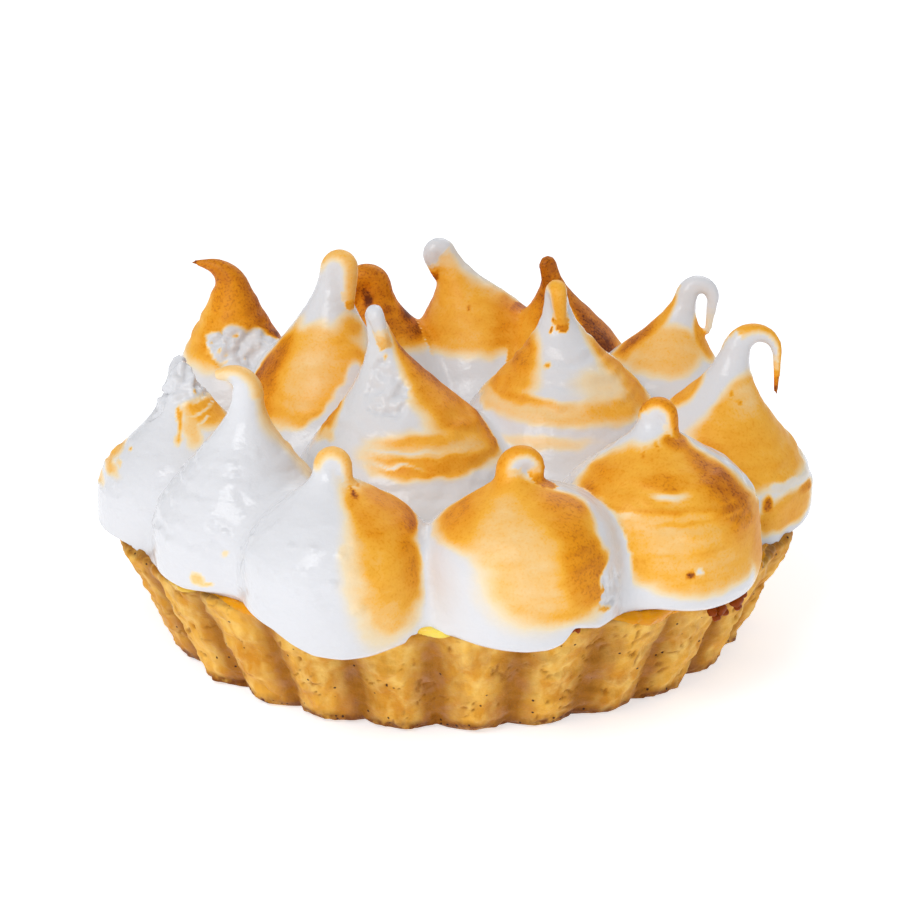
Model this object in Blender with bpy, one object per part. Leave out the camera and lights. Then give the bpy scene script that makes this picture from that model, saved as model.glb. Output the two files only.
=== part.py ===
"""A lemon meringue tartlet: a fluted shortcrust case, lemon curd and fourteen piped, torched kisses.

Metres, +Z up. The origin is the centre of the case's underside, and the front of the tart faces -Y.
"""

import math
from dataclasses import dataclass

import bpy
from mathutils import Vector, noise

# Fluted case
CASE_HEIGHT = 0.0204
RIM_RADIUS = 0.0570
BASE_RADIUS = 0.0476
WALL = 0.0046
FLOOR = 0.0040
FLUTES = 26
FLUTE_DEPTH = 0.0021
STEPS_PER_FLUTE = 6
FLUTE_START = math.radians(-86.6)
RIM_CROWN = 0.0004
RIM_ROUND = 0.0010
INNER_LIP = 0.0003
FOOT_CHAMFER = 0.0008
FOOT_FLAT = 0.0026
CRAG_HEIGHT = 0.00045
CRAG_GRAIN = 0.0028

# Lemon curd
CURD_TOP = 0.0196
CURD_SIDES = 72
CURD_CHAMFER = 0.0006

# Stations up the outer wall: share of the case's height, share of the flutes' depth, share of the crags
WALL_STATIONS = (
    (0.2, 1.0, 1.0),
    (0.42, 1.0, 1.0),
    (0.64, 0.9, 1.0),
    (0.84, 0.7, 1.0),
    (0.96, 0.5, 0.8),
)

# Clear space between pieces that touch
GAP = 0.0003
BED_SIDES = 78

# Piped kisses
KISS_SIDES = 18
BODY_STEPS = 9
ARC_STEPS = 6
TAIL_STEPS = 2
BELLY_SHARE = 0.2
FOLD_ROOM = 0.85
LAP_SHARE = 0.5
LAP_SHRINK = 0.94
SKIRT = 0.0100
SKIRT_SHARE = 0.35
SKIRT_POWER = 1.5
SKIRT_END = 0.0560
SKIRT_FADE = 0.0100
RIPPLE_SHARE = 0.03
RIPPLE_LENGTH = 0.009

# Colours, linear
WHITE_FOAM = (0.86, 0.84, 0.80)
TOASTED_FOAM = (0.62, 0.30, 0.06)
SHORTCRUST = (0.52, 0.27, 0.06)
CURD_YELLOW = (0.86, 0.55, 0.03)


@dataclass
class Kiss:
    """One kiss of meringue: where it stands, how big and full it was piped and how its tip fell over."""

    name: str
    x: float
    y: float
    radius: float
    height: float
    lean: tuple
    bend: float
    curl: float
    heading: float
    tail: float
    neck: float = 0.0030
    tip: float = 0.0010
    taper: float = 1.0
    full: float = 1.12
    cone: float = 0.0
    footing: float = 0.86
    sag: float = 0.0010
    toast: float = 0.6


KISSES = (
    Kiss("kiss_front_left", -0.0172, -0.0466, 0.0145, 0.0233, (-0.0017, 0.0010), full=2.2,
         bend=0.0013, curl=178, heading=-10, tail=0.0050, neck=0.0019, tip=0.0009, sag=0.0022, toast=0.3),
    Kiss("kiss_front", 0.0104, -0.0464, 0.0153, 0.0223, (-0.0021, 0.0010), full=2.7,
         bend=0.0020, curl=190, heading=5, tail=0.0020, neck=0.0022, sag=0.0008),
    Kiss("kiss_front_right", 0.0310, -0.0340, 0.0162, 0.0264, (-0.0012, 0.0010), full=2.0,
         bend=0.0015, curl=176, heading=-22, tail=0.0042, neck=0.0020, tip=0.0009, sag=0.0, toast=0.8),
    Kiss("kiss_right", 0.0420, -0.0060, 0.0160, 0.0273, (0.0034, 0.0020), footing=1.0,
         bend=0.0033, curl=166, heading=0, tail=0.0065, neck=0.0024, tip=0.0005, taper=1.8),
    Kiss("kiss_right_back", 0.0356, 0.0236, 0.0152, 0.0269, (0.0040, 0.0020),
         bend=0.0023, curl=172, heading=-8, tail=0.0055, neck=0.0019, tip=0.0006, taper=1.2),
    Kiss("kiss_back_right", 0.0189, 0.0415, 0.0135, 0.0271, (-0.0020, 0.0),
         bend=0.0007, curl=175, heading=230, tail=0.0030, neck=0.0013, tip=0.0008, toast=0.9),
    Kiss("kiss_back", 0.0048, 0.0460, 0.0148, 0.0281, (-0.0063, 0.0),
         bend=0.0013, curl=176, heading=-165, tail=0.0035, neck=0.0020),
    Kiss("kiss_back_left", -0.0130, 0.0416, 0.0150, 0.0232, (-0.0008, 0.0),
         bend=0.0020, curl=170, heading=200, tail=0.0030, toast=1.0),
    Kiss("kiss_left_back", -0.0369, 0.0240, 0.0150, 0.0283, (-0.0006, 0.0), cone=0.85,
         bend=0.0046, curl=80, heading=180, tail=0.0026, neck=0.0033, tip=0.0004, taper=1.3, toast=0.7),
    Kiss("kiss_left", -0.0420, -0.0095, 0.0155, 0.0215, (-0.0012, 0.0020), full=1.4, footing=1.0,
         bend=0.0050, curl=55, heading=60, tail=0.0005, neck=0.0046, tip=0.0024, toast=0.2),
    Kiss("kiss_left_front", -0.0320, -0.0310, 0.0145, 0.0291, (0.0008, 0.0010),
         bend=0.0030, curl=98, heading=185, tail=0.0010, neck=0.0025, tip=0.0010, sag=0.0, toast=0.1),
    Kiss("kiss_middle_front", -0.0078, -0.0102, 0.0183, 0.0338, (-0.0046, 0.0020), full=0.98,
         bend=0.0010, curl=175, heading=-75, tail=0.0040, neck=0.0016, tip=0.0009, toast=0.5),
    Kiss("kiss_middle_right", 0.0180, 0.0016, 0.0180, 0.0337, (-0.0014, 0.0020), full=1.2,
         bend=0.0012, curl=176, heading=-80, tail=0.0055, neck=0.0019, tip=0.0008, toast=0.5),
    Kiss("kiss_middle_left", -0.0215, 0.0151, 0.0148, 0.0341, (0.0016, 0.0020),
         bend=0.0014, curl=176, heading=-30, tail=0.0080, neck=0.0023),
)


def clear_scene():
    for thing in list(bpy.data.objects):
        bpy.data.objects.remove(thing, do_unlink=True)


def finish(name, colour, roughness):
    """A plain baked or piped surface: one colour, not metallic."""
    material = bpy.data.materials.new(name)
    material.use_nodes = True
    shader = material.node_tree.nodes["Principled BSDF"]
    shader.inputs["Base Color"].default_value = (*colour, 1.0)
    shader.inputs["Roughness"].default_value = roughness
    shader.inputs["Metallic"].default_value = 0.0
    return material


def mix(first, second, share):
    return tuple(a + (b - a) * share for a, b in zip(first, second))


def ring_body(name, rings, material):
    """A closed body from rings of points with equal counts, its first and last ring capped."""
    sides = len(rings[0])
    points = [point for ring in rings for point in ring]
    faces = [tuple(reversed(range(sides)))]
    for level in range(len(rings) - 1):
        low, high = level * sides, (level + 1) * sides
        for i in range(sides):
            j = (i + 1) % sides
            faces.append((low + i, low + j, high + j, high + i))
    faces.append(tuple(range(len(points) - sides, len(points))))
    mesh = bpy.data.meshes.new(name)
    mesh.from_pydata(points, [], faces)
    mesh.update()
    mesh.shade_smooth()
    mesh.set_sharp_from_angle(angle=math.radians(40))
    mesh.materials.append(material)
    body = bpy.data.objects.new(name, mesh)
    bpy.context.scene.collection.objects.link(body)
    return body


def turned_ring(radius, height, sides):
    turns = [2 * math.pi * i / sides for i in range(sides)]
    return [Vector((radius * math.cos(turn), radius * math.sin(turn), height)) for turn in turns]


def wall_radius(height):
    """Radius of the case's outer cone, which leans out towards the rim."""
    return BASE_RADIUS + (RIM_RADIUS - BASE_RADIUS) * height / CASE_HEIGHT


def flute(turn):
    """0 on the broad crest of a flute, 1 in the narrow groove between two."""
    return 1 - (0.5 + 0.5 * math.cos(FLUTES * (turn - FLUTE_START))) ** 0.6


def crag(place):
    """Uneven dough: a smooth seeded height between about -1 and 1."""
    return noise.fractal(place / CRAG_GRAIN, 1.0, 2.0, 3)


def inner_radius(height):
    return wall_radius(height) - WALL


def case_profile():
    """(radius, height, flute share, crag share): the underside, up the wall, over the rim, down inside."""
    lip = CASE_HEIGHT - INNER_LIP
    wall = [(share * CASE_HEIGHT, *relief) for share, *relief in WALL_STATIONS]
    return [
        (BASE_RADIUS - FOOT_FLAT, 0.0, 0.7, 0.0),
        (BASE_RADIUS - FOOT_CHAMFER, 0.0, 1.0, 0.0),
        (wall_radius(FOOT_CHAMFER), FOOT_CHAMFER, 1.0, 1.2),
        *((wall_radius(height), height, *relief) for height, *relief in wall),
        (RIM_RADIUS - RIM_ROUND, CASE_HEIGHT, 0.3, 0.5),
        (RIM_RADIUS - WALL / 2, CASE_HEIGHT + RIM_CROWN, 0.1, 0.5),
        (inner_radius(lip), lip, 0.0, 0.0),
        (inner_radius(FLOOR), FLOOR, 0.0, 0.0),
    ]


def make_crust():
    """The fluted case, an open shell with crags on its outer wall and rim."""
    sides = FLUTES * STEPS_PER_FLUTE
    rings = []
    for radius, height, flute_share, crag_share in case_profile():
        ring = []
        for i in range(sides):
            turn = FLUTE_START + 2 * math.pi * i / sides
            out = Vector((math.cos(turn), math.sin(turn), 0.0))
            bump = crag_share * CRAG_HEIGHT * crag(out * radius + Vector((0, 0, height)))
            point = out * (radius - flute_share * FLUTE_DEPTH * flute(turn) + bump)
            rise = bump if height >= CASE_HEIGHT else 0.0
            ring.append(point + Vector((0, 0, height + rise)))
        rings.append(ring)
    return ring_body("crust", rings, finish("shortcrust", SHORTCRUST, 0.75))


def make_curd():
    """The filling, a disc that stands clear of the case's floor and wall."""
    shoulder = CURD_TOP - CURD_CHAMFER
    rings = [
        turned_ring(inner_radius(FLOOR) - GAP, FLOOR + GAP, CURD_SIDES),
        turned_ring(inner_radius(shoulder) - GAP, shoulder, CURD_SIDES),
        turned_ring(inner_radius(shoulder) - GAP - CURD_CHAMFER, CURD_TOP, CURD_SIDES),
    ]
    return ring_body("lemon_curd", rings, finish("lemon curd", CURD_YELLOW, 0.2))


def make_bed():
    """Cutter for the undersides of the kisses: curd and rim, one gap larger all round."""
    rim_top = CASE_HEIGHT + RIM_CROWN + CRAG_HEIGHT + GAP
    rim_out = RIM_RADIUS + CRAG_HEIGHT + 2 * GAP
    rim_in = RIM_RADIUS - WALL - GAP
    rings = [
        turned_ring(rim_out, -CASE_HEIGHT, BED_SIDES),
        turned_ring(rim_out, rim_top - RIM_ROUND, BED_SIDES),
        turned_ring(rim_out - RIM_ROUND, rim_top, BED_SIDES),
        turned_ring(rim_in, rim_top, BED_SIDES),
        turned_ring(rim_in - RIM_ROUND, CURD_TOP + GAP, BED_SIDES),
    ]
    return helper(ring_body("bed_cutter", rings, finish("cutter", WHITE_FOAM, 0.5)))


def body_radius(kiss, share):
    """Radius of a kiss at a share of its height: a round belly that tapers like a bell to the neck."""
    if share < BELLY_SHARE:
        below = 1 - share / BELLY_SHARE
        return kiss.radius * (kiss.footing + (1 - kiss.footing) * math.sqrt(1 - below * below))
    above = (share - BELLY_SHARE) / (1 - BELLY_SHARE)
    bell = 0.5 + 0.5 * math.cos(math.pi * above**kiss.full)
    return kiss.neck + (kiss.radius - kiss.neck) * (bell + kiss.cone * (1 - above - bell))


def body_spine(kiss):
    """(centre, direction, radius) from the foot to the neck, which leans a little off the foot."""
    foot = CURD_TOP - kiss.sag
    rise = kiss.height + kiss.sag
    slope = Vector((2 * kiss.lean[0], 2 * kiss.lean[1], 0.0)) / rise
    stations = []
    for i in range(BODY_STEPS + 1):
        share = i / BODY_STEPS
        x = kiss.x + kiss.lean[0] * share**2
        y = kiss.y + kiss.lean[1] * share**2
        way = (Vector((0, 0, 1)) + slope * share).normalized()
        stations.append((Vector((x, y, foot + rise * share)), way, body_radius(kiss, share)))
    return stations


def tip_radius(kiss, share):
    """Radius of the tip at a share of its length: it thins from the neck to the end."""
    return kiss.tip + (kiss.neck - kiss.tip) * (1 - share) ** kiss.taper


def tip_spine(kiss, neck_centre, neck_way):
    """(centre, direction, radius) of the tip: an arc that falls over to its heading, then a straight tail."""
    heading = math.radians(kiss.heading)
    fall = Vector((math.cos(heading), math.sin(heading), 0.0))
    fall = (fall - neck_way * fall.dot(neck_way)).normalized()
    curl = math.radians(kiss.curl)
    arc = kiss.bend * curl
    length = arc + kiss.tail
    pivot = neck_centre + fall * kiss.bend
    stations = []
    for i in range(1, ARC_STEPS + 1):
        turn = curl * i / ARC_STEPS
        centre = pivot + (neck_way * math.sin(turn) - fall * math.cos(turn)) * kiss.bend
        way = neck_way * math.cos(turn) + fall * math.sin(turn)
        stations.append((centre, way, tip_radius(kiss, arc * i / ARC_STEPS / length)))
    arc_end, way = stations[-1][:2]
    for i in range(1, TAIL_STEPS + 1):
        run = kiss.tail * i / TAIL_STEPS
        stations.append((arc_end + way * run, way, tip_radius(kiss, (arc + run) / length)))
    return stations, neck_way.cross(fall)


def ring_round(centre, way, radius, across, room):
    """A ring square to its direction, no further into the bend than the room there."""
    inner = across.cross(way)
    side = way.cross(inner)
    ring = []
    for i in range(KISS_SIDES):
        turn = 2 * math.pi * i / KISS_SIDES
        ring.append(centre + side * math.cos(turn) * radius + inner * max(-room, math.sin(turn) * radius))
    return ring


def ripple(centre, point, kiss):
    """The point moved in or out by the slow ripple of foam that ran from a bag."""
    share = RIPPLE_SHARE * noise.noise(point / RIPPLE_LENGTH)
    return centre + (point - centre) * (1 + share * (point - centre).length / kiss.radius)


def spread(centre, point, share):
    """The point moved out by the skirt of foam that sags into the valleys, but never over the rim."""
    if share >= SKIRT_SHARE:
        return point
    inside = min(1.0, max(0.0, (SKIRT_END - math.hypot(point.x, point.y)) / SKIRT_FADE))
    reach = SKIRT * inside * (1 - share / SKIRT_SHARE) ** SKIRT_POWER
    return point + (point - centre).normalized() * reach


def press_flat(kiss, centre, point, neighbours):
    """The point, pulled back towards the centre until it is on this kiss's side of each neighbour."""
    place = Vector((kiss.x, kiss.y, 0.0))
    for other in neighbours:
        towards = Vector((other.x, other.y, 0.0)) - place
        distance = towards.length
        towards.normalize()
        limit = (distance**2 + kiss.radius**2 - other.radius**2) / (2 * distance) - GAP / 2
        centre_side = (centre - place).dot(towards) - limit
        point_side = (point - place).dot(towards) - limit
        if point_side > 0 > centre_side:
            point = centre + (point - centre) * centre_side / (centre_side - point_side)
    return point


def touching(kiss, other):
    reach = kiss.radius + other.radius + 2 * SKIRT
    return other is not kiss and math.hypot(kiss.x - other.x, kiss.y - other.y) < reach


def helper(body):
    body.hide_render = True
    body.display_type = "WIRE"
    return body


def combine(body, other, operation):
    step = body.modifiers.new(other.name, "BOOLEAN")
    step.operation = operation
    step.solver = "EXACT"
    step.object = other


def make_kiss(kiss, bed):
    """One kiss: body and fallen tip swept apart, joined, and cut below to sit on the curd and the rim."""
    neighbours = [other for other in KISSES if touching(kiss, other)]
    material = finish(f"meringue {kiss.name}", mix(WHITE_FOAM, TOASTED_FOAM, 0.75 * kiss.toast), 0.55)
    body_stations = body_spine(kiss)
    tip_stations, across = tip_spine(kiss, *body_stations[-1][:2])
    room = FOLD_ROOM * kiss.bend
    rings = []
    for level, (centre, way, radius) in enumerate(body_stations):
        ring = ring_round(centre, way, radius, across, radius)
        ring = [spread(centre, ripple(centre, point, kiss), level / BODY_STEPS) for point in ring]
        rings.append([press_flat(kiss, centre, point, neighbours) for point in ring])
    tip_rings = [ring_round(centre, way, radius, across, room) for centre, way, radius in tip_stations]
    half_turn = max(1, min(ARC_STEPS, round(ARC_STEPS * 90 / kiss.curl)))
    body = ring_body(kiss.name, rings + tip_rings[:half_turn], material)
    if half_turn < ARC_STEPS:
        centre, way, radius = tip_stations[half_turn - 1]
        root = centre - way * radius * LAP_SHARE
        lap = ring_round(root, way, radius * LAP_SHRINK, across, room * LAP_SHRINK)
        flap = ring_body(f"{kiss.name}_flap", [lap] + tip_rings[half_turn:], material)
        combine(body, helper(flap), "UNION")
    combine(body, bed, "DIFFERENCE")
    return body


def main():
    clear_scene()
    make_crust()
    make_curd()
    bed = make_bed()
    for kiss in KISSES:
        make_kiss(kiss, bed)


main()
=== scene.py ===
# %% [markdown]
# # A lemon meringue tartlet
# A fluted shortcrust case holds lemon curd, and fourteen kisses of meringue were piped on top and browned
# with a torch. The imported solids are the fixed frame: each piece made here stands for one or more of them
# and keeps its place and size. Units are metres, +Z is up, and the front of the tart faces -Y.

# %% Load the frame
import math
from dataclasses import dataclass

import bmesh
import bpy
import numpy as np
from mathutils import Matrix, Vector, noise


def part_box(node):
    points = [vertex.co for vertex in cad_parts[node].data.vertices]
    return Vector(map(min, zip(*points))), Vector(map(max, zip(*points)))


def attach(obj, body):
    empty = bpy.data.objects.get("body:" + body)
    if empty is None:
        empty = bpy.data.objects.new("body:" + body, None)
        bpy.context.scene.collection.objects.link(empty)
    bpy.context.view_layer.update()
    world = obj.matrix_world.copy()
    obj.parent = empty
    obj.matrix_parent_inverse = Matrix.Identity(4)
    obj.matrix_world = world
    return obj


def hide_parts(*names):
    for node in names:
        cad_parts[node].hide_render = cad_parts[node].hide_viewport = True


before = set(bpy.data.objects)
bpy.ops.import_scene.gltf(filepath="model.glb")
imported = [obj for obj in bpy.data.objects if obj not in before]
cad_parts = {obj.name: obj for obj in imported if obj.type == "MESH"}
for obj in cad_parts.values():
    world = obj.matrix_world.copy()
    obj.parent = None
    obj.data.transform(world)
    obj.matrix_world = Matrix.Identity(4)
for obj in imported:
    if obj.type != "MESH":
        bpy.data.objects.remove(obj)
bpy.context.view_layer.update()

MM = 0.001
crust_low, crust_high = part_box("crust")
print("nodes:", len(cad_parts), "case height in mm:", round((crust_high.z - crust_low.z) / MM, 1))

# %% [markdown]
# ## Camera
# The photograph looks down on the tart by 21 degrees from close by, with little perspective. A long lens
# half a metre away gives that view. The lens is worked out from the size of the tart in the picture: the
# focal length in pixels, over the frame's width, times the sensor's width.

# %% The camera at the photograph's angle
VIEW_DOWN = math.radians(21)
VIEW_DISTANCE = 0.480
VIEW_TARGET = Vector((-0.00055, 0.0, 0.0279))
FOCAL_PIXELS = 2928
FRAME_PIXELS = 900
SENSOR = 36.0

camera_data = bpy.data.cameras.new("view")
camera_data.sensor_width = SENSOR
camera_data.lens = SENSOR * FOCAL_PIXELS / FRAME_PIXELS
camera_data.clip_start = 0.01
camera = bpy.data.objects.new("view", camera_data)
camera.location = VIEW_TARGET + VIEW_DISTANCE * Vector((0, -math.cos(VIEW_DOWN), math.sin(VIEW_DOWN)))
camera.rotation_euler = (math.pi / 2 - VIEW_DOWN, 0, 0)
bpy.context.scene.collection.objects.link(camera)
bpy.context.scene.camera = camera
print("lens in mm:", round(camera_data.lens, 1))

# %% [markdown]
# ## Helpers for materials
# A colour picker gives sRGB, while a shader wants linear light, so one function turns hex colours to
# linear. One more adds a node: its own settings, and its sockets as plain values or as links from other
# nodes.

# %% Colour and node helpers
def linear(code):
    """A linear RGBA colour from an sRGB hex code such as "e8a040"."""
    parts = [int(code[i : i + 2], 16) / 255 for i in (0, 2, 4)]
    return (*[c / 12.92 if c <= 0.04045 else ((c + 0.055) / 1.055) ** 2.4 for c in parts], 1.0)


def add(tree, kind, sockets=None, **settings):
    """Adds one node. A socket's value is a number, a tuple or another node's output."""
    node = tree.nodes.new(kind)
    for name, value in settings.items():
        setattr(node, name, value)
    for name, value in (sockets or {}).items():
        if isinstance(value, bpy.types.NodeSocket):
            tree.links.new(value, node.inputs[name])
        else:
            node.inputs[name].default_value = value
    return node


def new_material(name, values):
    """A Principled material with plain values on the shader's own sockets: (material, tree, shader)."""
    material = bpy.data.materials.new(name)
    material.use_nodes = True
    shader = material.node_tree.nodes["Principled BSDF"]
    for socket, value in values.items():
        shader.inputs[socket].default_value = value
    return material, material.node_tree, shader


print("amber in linear light:", [round(c, 3) for c in linear("e8a040")])

# %% [markdown]
# ## Stage and light
# The photograph is high-key: a white ground, no hard shadow, and soft grey only where the foam turns away.
# A white sky gives most of the light. A soft panel at the upper left gives the foam its shape, and a weaker
# one behind lights its far edges. The floor glows a little, so that it comes out as white as the
# photograph's.

# %% Floor, sky and soft panels
SKY_STRENGTH = 0.64
EXPOSURE = -0.5
FLOOR_SIZE = 6.0
FLOOR_GLOW = 0.9
PANEL_AIM = Vector((0, 0, 0.02))
PANELS = (("key", (-0.26, -0.42, 0.52), 0.34, 3.4), ("back", (0.20, 0.55, 0.45), 0.5, 1.8))

sky = bpy.data.worlds.new("white sky")
bpy.context.scene.world = sky
sky.use_nodes = True
sky_light = sky.node_tree.nodes["Background"]
sky_light.inputs["Color"].default_value = linear("fafcff")
sky_light.inputs["Strength"].default_value = SKY_STRENGTH
bpy.context.scene.view_settings.view_transform = "Standard"
bpy.context.scene.view_settings.exposure = EXPOSURE

for name, stand, size, watts in PANELS:
    panel_data = bpy.data.lights.new(name, "AREA")
    panel_data.shape = "SQUARE"
    panel_data.size = size
    panel_data.energy = watts
    panel = bpy.data.objects.new(name, panel_data)
    panel.location = stand
    panel.rotation_euler = (Vector(stand) - PANEL_AIM).to_track_quat("Z", "Y").to_euler()
    bpy.context.scene.collection.objects.link(panel)

bpy.ops.mesh.primitive_plane_add(size=FLOOR_SIZE)
floor = bpy.context.object
floor.name = "floor"
floor_paint, tree, shader = new_material("matt white table", {
    "Base Color": linear("d2d4d8"), "Roughness": 0.9,
    "Emission Color": linear("ffffff"), "Emission Strength": FLOOR_GLOW,
})
floor.data.materials.append(floor_paint)
print("sky", SKY_STRENGTH, "floor in m", FLOOR_SIZE, "panels", len(PANELS))

# %% [markdown]
# ## The shortcrust case
# Shortcrust pressed into a fluted tin keeps the tin's shape: broad crests with narrow grooves between them.
# The dough is short and crumbly, so its face has low crags, pits where butter melted out, and a ragged foot
# and rim. The solid was turned from one profile, and the same profile is turned again here with far more
# points, so that crags, pits and cracks are true relief.

# %% Sizes of the case, in millimetres
CASE_HEIGHT = 20.4
RIM_RADIUS = 57.0
BASE_RADIUS = 47.6
WALL = 4.6
FLOOR = 4.0
FLUTES = 26
FLUTE_DEPTH = 2.1
FLUTE_POWER = 0.5
FLUTE_START = math.radians(-86.6)
RIM_CROWN = 0.4
RIM_ROUND = 1.0
INNER_LIP = 0.3
FOOT_CHAMFER = 0.8
FOOT_FLAT = 2.6
CRAG_HEIGHT = 0.45
CRAG_GRAIN = 2.8
CURD_TOP = 19.6
WALL_ROWS = ((0.2, 1.0, 1.0), (0.42, 1.0, 1.0), (0.64, 0.9, 1.0), (0.84, 0.7, 1.0), (0.96, 0.5, 0.8))


def wall_radius(height):
    """Radius of the outer cone, which leans out towards the rim."""
    return BASE_RADIUS + (RIM_RADIUS - BASE_RADIUS) * height / CASE_HEIGHT


def case_stations():
    """Rows of radius, height, share of the flutes and share of the crags, up the outside and down inside."""
    lip = CASE_HEIGHT - INNER_LIP
    return [
        (BASE_RADIUS - FOOT_FLAT, 0.0, 0.7, 0.0),
        (BASE_RADIUS - FOOT_CHAMFER, 0.0, 1.0, 0.0),
        (wall_radius(FOOT_CHAMFER), FOOT_CHAMFER, 1.0, 1.2),
        *((wall_radius(share * CASE_HEIGHT), share * CASE_HEIGHT, *relief) for share, *relief in WALL_ROWS),
        (RIM_RADIUS - RIM_ROUND, CASE_HEIGHT, 0.3, 0.5),
        (RIM_RADIUS - WALL / 2, CASE_HEIGHT + RIM_CROWN, 0.1, 0.5),
        (wall_radius(lip) - WALL, lip, 0.0, 0.0),
        (wall_radius(FLOOR) - WALL, FLOOR, 0.0, 0.0),
    ]


print("stations in the case's profile:", len(case_stations()))

# %% Resample the profile in small steps
ROW_STEP = 0.36
FINE_STEP = 0.04
CORNER_ROUND = 0.5


def resampled(stations, step):
    """The stations along their path at even steps, with corners rounded by a running mean."""
    stations = np.array(stations)
    runs = np.hypot(*np.diff(stations[:, :2], axis=0).T)
    along = np.concatenate([[0], np.cumsum(runs)])
    fine = np.arange(0, along[-1], FINE_STEP)
    table = np.stack([np.interp(fine, along, column) for column in stations.T], axis=1)
    window = round(CORNER_ROUND / FINE_STEP)
    padded = np.pad(table, ((window, window), (0, 0)), "edge")
    kernel = np.ones(2 * window + 1) / (2 * window + 1)
    table = np.stack([np.convolve(column, kernel, "valid") for column in padded.T], axis=1)
    return table[:: round(step / FINE_STEP)]


case_rows = resampled(case_stations(), ROW_STEP)
print("rows up the case:", len(case_rows), "highest in mm:", round(case_rows[:, 1].max(), 2))

# %% [markdown]
# Noise gives the dough its unevenness. The crags are the solid's own. Finer lumps, pits and short cracks
# that run along the wall, where the dough folded against the tin, are laid over them, and the foot crumbles
# most.

# %% Relief of the dough
CASE_SIDES = FLUTES * 34
LUMP_HEIGHT, LUMP_GRAIN = 0.34, 1.5
PIT_DEPTH, PIT_GRAIN, PIT_EDGE = 0.35, 1.5, (0.42, 0.62)
PITTED_GRAIN, PITTED_EDGE = 6.0, (-0.1, 0.2)
CRACK_DEPTH, CRACK_LENGTH, CRACK_WIDTH, CRACK_EDGE = 0.3, 2.6, 3.2, (0.93, 0.99)
CRACKED_GRAIN, CRACKED_EDGE = 4.5, (0.18, 0.4)
DENT_DEPTH, DENT_GRAIN = 0.6, 5.0
CRUMBLE_HEIGHT, CRUMBLE_GRAIN, RIM_CRUMBLE = 0.8, 1.3, 0.6
FOOT_EDGE, RIM_REACH = (0.2, 3.0), 1.2
FLUTE_WANDER, WANDER_GRAIN = 0.72, 0.12
GROOVE_VARIES, VARY_GRAIN = 0.3, 0.35


def smooth(low, high, value):
    """0 below low, 1 above high and a smooth step between."""
    t = np.clip((value - low) / (high - low), 0, 1)
    return t * t * (3 - 2 * t)


def field(points, grain, seed=0.0):
    """Smooth noise of about -1 to 1 at each point, in lumps of the given size. A seed picks another noise."""
    return np.array([noise.noise(point) for point in (points / grain + seed).tolist()])


turns = FLUTE_START + 2 * math.pi * np.arange(CASE_SIDES) / CASE_SIDES
radii, heights, flute_shares, crag_shares = (np.repeat(column, CASE_SIDES) for column in case_rows.T)
turn = np.tile(turns, len(case_rows))
out = np.stack([np.cos(turn), np.sin(turn), np.zeros(turn.size)], axis=1)
upward = np.array([0.0, 0.0, 1.0])
smooth_wall = out * radii[:, None] + upward * heights[:, None]
wander = FLUTE_WANDER * field(out, WANDER_GRAIN, 3.0)
groove = 1 - (0.5 + 0.5 * np.cos(FLUTES * (turn - FLUTE_START) + wander)) ** FLUTE_POWER
groove *= 1 + GROOVE_VARIES * field(out, VARY_GRAIN, 9.0)
crag = np.array([noise.fractal(point, 1.0, 2.0, 3) for point in (smooth_wall / CRAG_GRAIN).tolist()])
along_wall = np.stack([turn * RIM_RADIUS / CRACK_LENGTH, heights / CRACK_WIDTH, np.zeros(turn.size)], axis=1)
pit = smooth(*PIT_EDGE, field(smooth_wall, PIT_GRAIN, 11.0))
pit *= smooth(*PITTED_EDGE, field(smooth_wall, PITTED_GRAIN, 31.0))
crack = smooth(*CRACK_EDGE, 1 - np.abs(field(along_wall, 1.0, 5.0)))
crack *= smooth(*CRACKED_EDGE, field(smooth_wall, CRACKED_GRAIN, 2.0))
at_foot = 1 - smooth(*FOOT_EDGE, heights)
at_rim = smooth(CASE_HEIGHT - RIM_REACH, CASE_HEIGHT, heights)
crumble = field(smooth_wall, CRUMBLE_GRAIN, 8.0) * np.maximum(at_foot, RIM_CRUMBLE * at_rim)
shown = np.clip(crag_shares, 0, 1)
relief = crag_shares * CRAG_HEIGHT * crag + shown * LUMP_HEIGHT * field(smooth_wall, LUMP_GRAIN, 21.0)
relief += shown * DENT_DEPTH * field(smooth_wall, DENT_GRAIN, 41.0)
relief += CRUMBLE_HEIGHT * shown * crumble - shown * (PIT_DEPTH * pit + CRACK_DEPTH * crack)
print("share of the wall in pits:", round(float(pit.mean()), 3), "in cracks:", round(float(crack.mean()), 3))

# %% Turn the case
def ring_faces(rows, sides):
    """Faces that join rows of points into one closed body, with a cap on the first and the last row."""
    low = np.arange((rows - 1) * sides).reshape(rows - 1, sides)
    side = np.stack([low, np.roll(low, -1, axis=1), np.roll(low, -1, axis=1) + sides, low + sides], axis=2)
    first = tuple(reversed(range(sides)))
    last = tuple(range((rows - 1) * sides, rows * sides))
    return [first, *map(tuple, side.reshape(-1, 4).tolist()), last]


def mesh_object(name, points, faces):
    """A smooth-shaded object from points in millimetres."""
    mesh = bpy.data.meshes.new(name)
    mesh.from_pydata((np.asarray(points) * MM).tolist(), [], faces)
    mesh.update()
    mesh.shade_smooth()
    made = bpy.data.objects.new(name, mesh)
    bpy.context.scene.collection.objects.link(made)
    return made


def point_values(thing, name, values):
    """Keeps one number for each point of a mesh, for a material to read."""
    layer = thing.data.attributes.new(name, "FLOAT", "POINT")
    layer.data.foreach_set("value", np.asarray(values, np.float32))


SCORCH_MEAN, SCORCH_VARIES, SCORCH_GRAIN, RIM_SCORCH = 1.4, 1.2, 5.0, 0.7

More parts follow.
